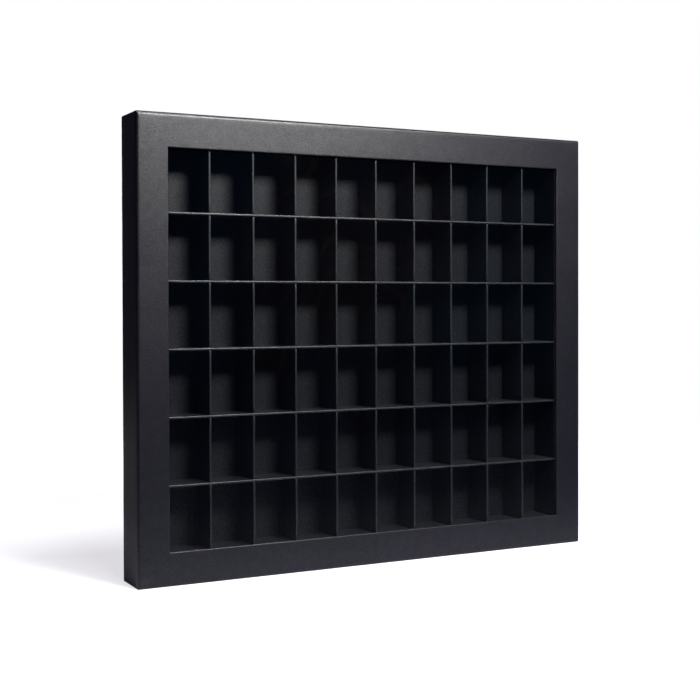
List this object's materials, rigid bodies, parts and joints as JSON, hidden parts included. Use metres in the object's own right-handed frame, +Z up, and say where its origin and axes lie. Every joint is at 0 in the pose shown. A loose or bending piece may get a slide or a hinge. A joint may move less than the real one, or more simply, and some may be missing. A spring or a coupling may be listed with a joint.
{
  "type": "compartment display box",
  "caption": "Shallow upright board box with a clear window in its lift-off lid, over a slotted-card grid of small compartments.",
  "frame": {"origin": "middle of the long edge that the box stands on, at half its depth", "axes": "+X to the right along the width, +Y from the window towards the back, +Z up"},
  "size_m": [0.457, 0.04, 0.4],
  "materials": {
    "covering": "fine-grained black covering paper, satin",
    "board": "raw dark grey board",
    "stay_paper": "gummed kraft paper",
    "pane": "clear plastic sheet, glossy",
    "tape": "translucent double-sided tape",
    "filler": "black foam strip, matte",
    "lining": "black card, matte",
    "card": "black card, matte"
  },
  "bodies": {
    "base": {"back_board": "board", "base_wall_top": "board", "base_wall_bottom": "board", "base_wall_left": "board", "base_wall_right": "board", "base_stay_top_left": "stay_paper", "base_stay_top_right": "stay_paper", "base_stay_bottom_left": "stay_paper", "base_stay_bottom_right": "stay_paper", "base_wrap": "covering", "back_lining": "lining", "filler_top": "filler", "filler_bottom": "filler", "filler_left": "filler", "filler_right": "filler", "insert_wall_top": "card", "insert_wall_bottom": "card", "insert_wall_left": "card", "insert_wall_right": "card", "upright_divider_1": "card", "upright_divider_2": "card", "upright_divider_3": "card", "upright_divider_4": "card", "upright_divider_5": "card", "upright_divider_6": "card", "upright_divider_7": "card", "upright_divider_8": "card", "upright_divider_9": "card", "shelf_divider_1": "card", "shelf_divider_2": "card", "shelf_divider_3": "card", "shelf_divider_4": "card", "shelf_divider_5": "card"},
    "lid": {"lid_face_board": "board", "lid_wall_top": "board", "lid_wall_bottom": "board", "lid_wall_left": "board", "lid_wall_right": "board", "lid_stay_top_left": "stay_paper", "lid_stay_top_right": "stay_paper", "lid_stay_bottom_left": "stay_paper", "lid_stay_bottom_right": "stay_paper", "lid_wrap": "covering", "window_pane": "pane", "pane_tape_top": "tape", "pane_tape_bottom": "tape", "pane_tape_left": "tape", "pane_tape_right": "tape"}
  },
  "joints": [
    {"name": "lid_lift", "type": "slide", "parent": "base", "child": "lid", "axis": [0, -1, 0], "range_m": [0, 0.1]}
  ]
}
